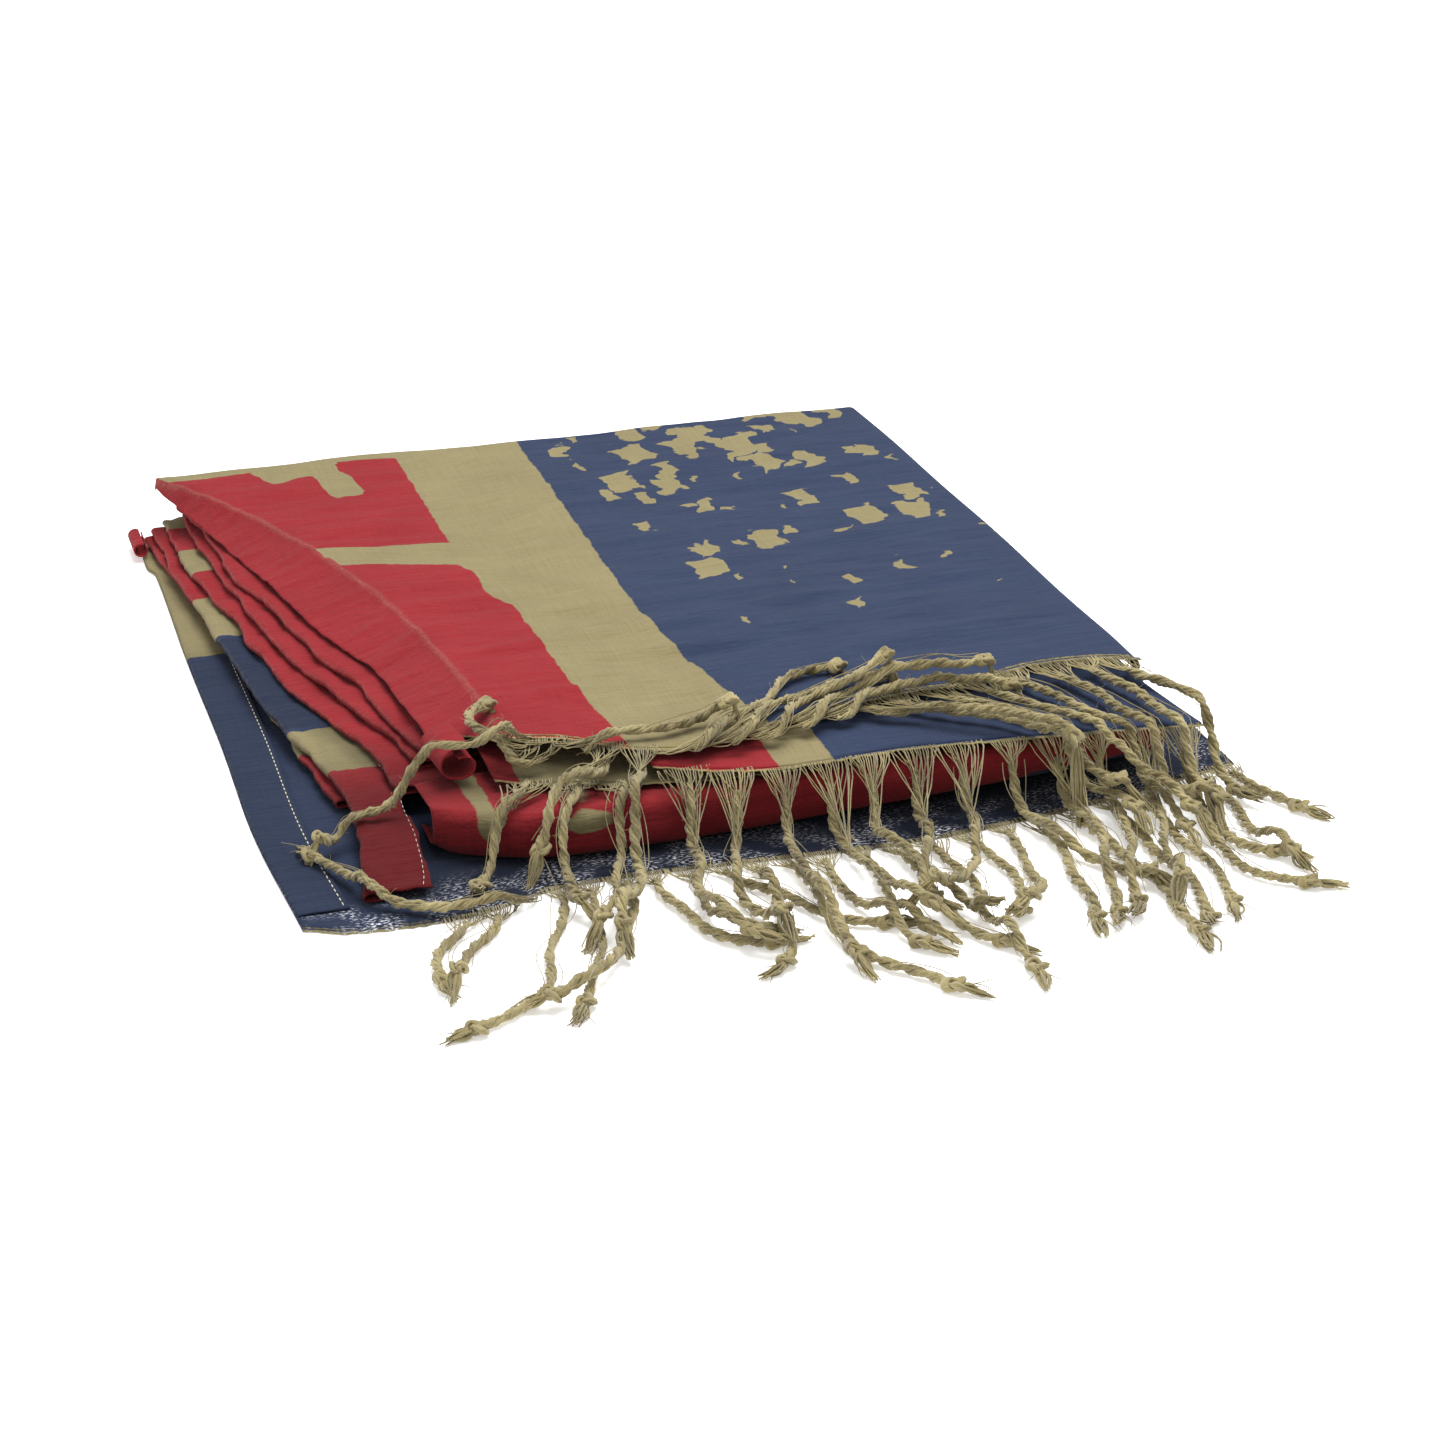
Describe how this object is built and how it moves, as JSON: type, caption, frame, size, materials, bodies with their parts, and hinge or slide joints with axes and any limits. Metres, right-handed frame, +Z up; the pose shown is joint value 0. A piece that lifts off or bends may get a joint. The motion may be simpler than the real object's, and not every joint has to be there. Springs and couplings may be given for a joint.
{
  "type": "fringed scarf",
  "caption": "Thin cotton voile scarf, folded to a low rectangular stack and laid flat, with red, tan and navy printed blocks and twisted cord fringe along its open front edges.",
  "frame": {"origin": "middle of the footprint, on the surface that the folded scarf lies on", "axes": "+Z up from the surface, -Y towards the fringed front edges, -X towards the pressed folds on the left"},
  "size_m": [0.309, 0.4044, 0.0424],
  "materials": {
    "navy_voile": "matt woven cotton",
    "red_voile": "matt woven cotton",
    "tan_voile": "matt woven cotton",
    "fringe_cotton": "twisted matt cotton yarn"
  },
  "bodies": {
    "root": {"base_sheet": "navy_voile", "side_hem": "navy_voile", "fold_6": "red_voile", "fold_5": "navy_voile", "fold_4": "red_voile", "fold_3": "red_voile", "fold_2": "red_voile", "hidden_layers": "red_voile", "low_front_fold": "navy_voile", "front_fold": "red_voile", "third_sheet": "tan_voile", "second_sheet": "navy_voile", "top_sheet": "navy_voile", "curled_end": "red_voile", "rolled_corner": "red_voile", "base_fringe": "fringe_cotton", "third_fringe": "fringe_cotton", "second_fringe": "fringe_cotton", "top_fringe": "fringe_cotton"}
  },
  "joints": []
}
